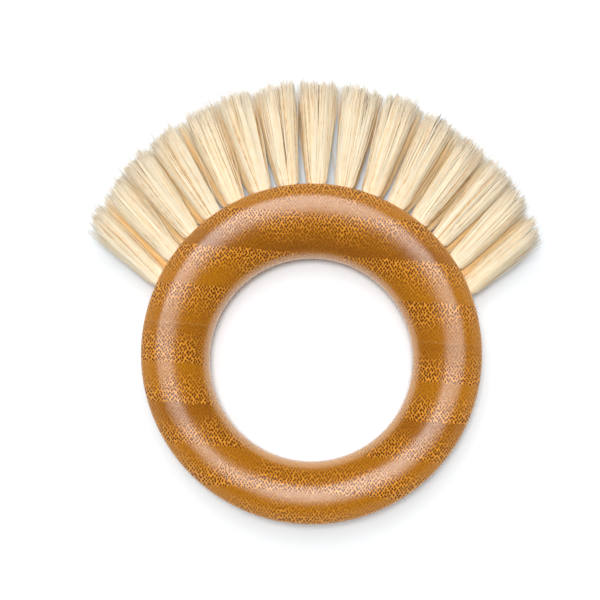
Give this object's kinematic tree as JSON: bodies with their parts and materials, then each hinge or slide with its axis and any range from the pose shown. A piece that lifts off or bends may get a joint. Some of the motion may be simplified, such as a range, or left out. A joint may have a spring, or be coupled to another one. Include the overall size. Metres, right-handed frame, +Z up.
{
  "type": "vegetable brush",
  "caption": "Hand-held vegetable brush: a round bamboo ring handle with a fan of cream plant-fibre bristle tufts set in its rim.",
  "frame": {"origin": "middle of the brush's footprint, on the surface that it lies on", "axes": "+Z up along the ring's axis, +Y from the grip toward the bristles, +X to the right seen from above"},
  "size_m": [0.111, 0.1098, 0.018],
  "materials": {
    "bamboo": "semi-gloss clear lacquer over end-grain bamboo",
    "bristle": "matt natural plant fibre",
    "anchor_wire": "drawn flat wire"
  },
  "bodies": {
    "root": {"ring_handle": "bamboo", "tuft_upper_01": "bristle", "tuft_upper_02": "bristle", "tuft_upper_03": "bristle", "tuft_upper_04": "bristle", "tuft_upper_05": "bristle", "tuft_upper_06": "bristle", "tuft_upper_07": "bristle", "tuft_upper_08": "bristle", "tuft_upper_09": "bristle", "tuft_upper_10": "bristle", "tuft_upper_11": "bristle", "tuft_upper_12": "bristle", "tuft_upper_13": "bristle", "tuft_upper_14": "bristle", "tuft_upper_15": "bristle", "tuft_lower_01": "bristle", "tuft_lower_02": "bristle", "tuft_lower_03": "bristle", "tuft_lower_04": "bristle", "tuft_lower_05": "bristle", "tuft_lower_06": "bristle", "tuft_lower_07": "bristle", "tuft_lower_08": "bristle", "tuft_lower_09": "bristle", "tuft_lower_10": "bristle", "tuft_lower_11": "bristle", "tuft_lower_12": "bristle", "tuft_lower_13": "bristle", "anchor_upper_01": "anchor_wire", "anchor_upper_02": "anchor_wire", "anchor_upper_03": "anchor_wire", "anchor_upper_04": "anchor_wire", "anchor_upper_05": "anchor_wire", "anchor_upper_06": "anchor_wire", "anchor_upper_07": "anchor_wire", "anchor_upper_08": "anchor_wire", "anchor_upper_09": "anchor_wire", "anchor_upper_10": "anchor_wire", "anchor_upper_11": "anchor_wire", "anchor_upper_12": "anchor_wire", "anchor_upper_13": "anchor_wire", "anchor_upper_14": "anchor_wire", "anchor_upper_15": "anchor_wire", "anchor_lower_01": "anchor_wire", "anchor_lower_02": "anchor_wire", "anchor_lower_03": "anchor_wire", "anchor_lower_04": "anchor_wire", "anchor_lower_05": "anchor_wire", "anchor_lower_06": "anchor_wire", "anchor_lower_07": "anchor_wire", "anchor_lower_08": "anchor_wire", "anchor_lower_09": "anchor_wire", "anchor_lower_10": "anchor_wire", "anchor_lower_11": "anchor_wire", "anchor_lower_12": "anchor_wire", "anchor_lower_13": "anchor_wire"}
  },
  "joints": []
}
